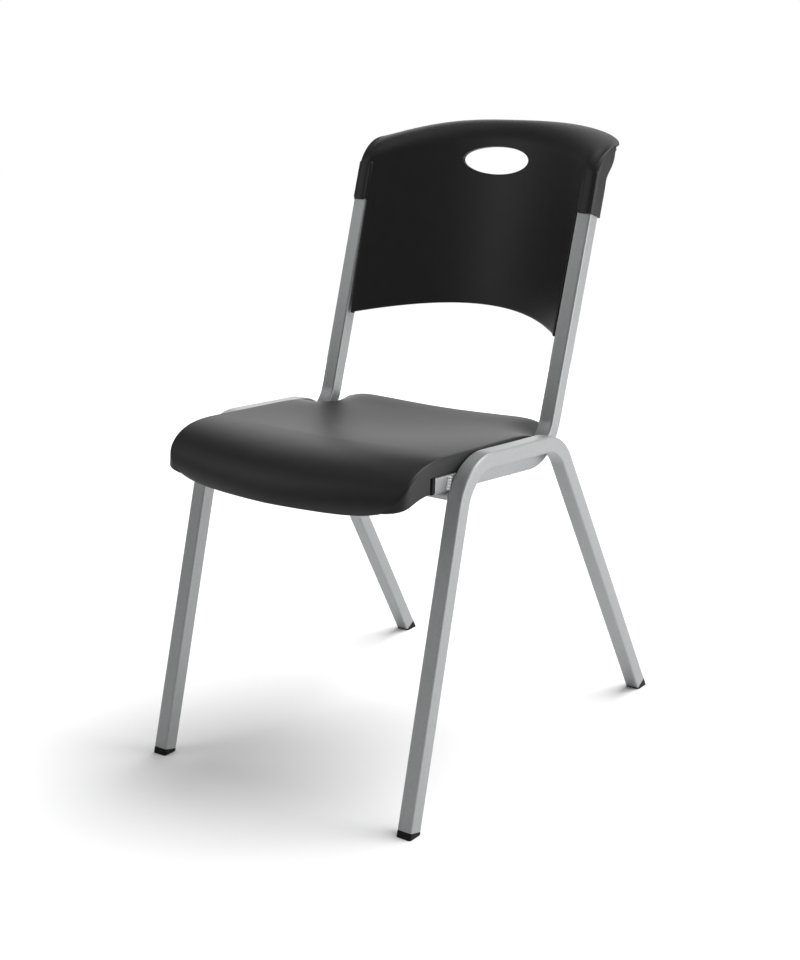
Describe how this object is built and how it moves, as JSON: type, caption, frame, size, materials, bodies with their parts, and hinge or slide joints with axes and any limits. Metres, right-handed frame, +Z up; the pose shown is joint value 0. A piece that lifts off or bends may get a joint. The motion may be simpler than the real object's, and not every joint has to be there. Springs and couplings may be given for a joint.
{
  "type": "stacking chair",
  "caption": "Stacking side chair with a moulded plastic seat and a curved plastic back with a hand hole, on a welded frame of bent square steel tube.",
  "frame": {"origin": "on the floor, under the middle of the chair's overall length and width", "axes": "+Z up; -Y towards the front of the seat; +X to the right seen from the front"},
  "size_m": [0.4668, 0.638, 0.866],
  "materials": {
    "frame_paint": "satin silver-grey powder coat",
    "weld_paint": "silver-grey powder coat over a weld bead",
    "cap_plastic": "matt black moulded plastic",
    "seat_plastic": "fine-grained charcoal moulded plastic",
    "back_plastic": "fine-grained charcoal moulded plastic",
    "screw_steel": "zinc-plated steel screw"
  },
  "bodies": {
    "root": {"leg_frame_left": "frame_paint", "leg_frame_right": "frame_paint", "back_frame_left": "frame_paint", "back_frame_right": "frame_paint", "front_cross_rod": "frame_paint", "rear_cross_tube": "frame_paint", "front_weld_left": "weld_paint", "front_weld_right": "weld_paint", "rear_weld_left": "weld_paint", "rear_weld_right": "weld_paint", "rod_weld_left": "weld_paint", "rod_weld_right": "weld_paint", "tube_weld_left": "weld_paint", "tube_weld_right": "weld_paint", "foot_cap_front_left": "cap_plastic", "foot_cap_front_right": "cap_plastic", "foot_cap_rear_left": "cap_plastic", "foot_cap_rear_right": "cap_plastic", "rail_plug_left": "cap_plastic", "rail_plug_right": "cap_plastic", "seat_shell": "seat_plastic", "back_shell": "back_plastic", "seat_screw_front_left": "screw_steel", "seat_screw_front_right": "screw_steel", "seat_screw_rear_left": "screw_steel", "seat_screw_rear_right": "screw_steel", "back_screw_left": "screw_steel", "back_screw_right": "screw_steel"}
  },
  "joints": []
}
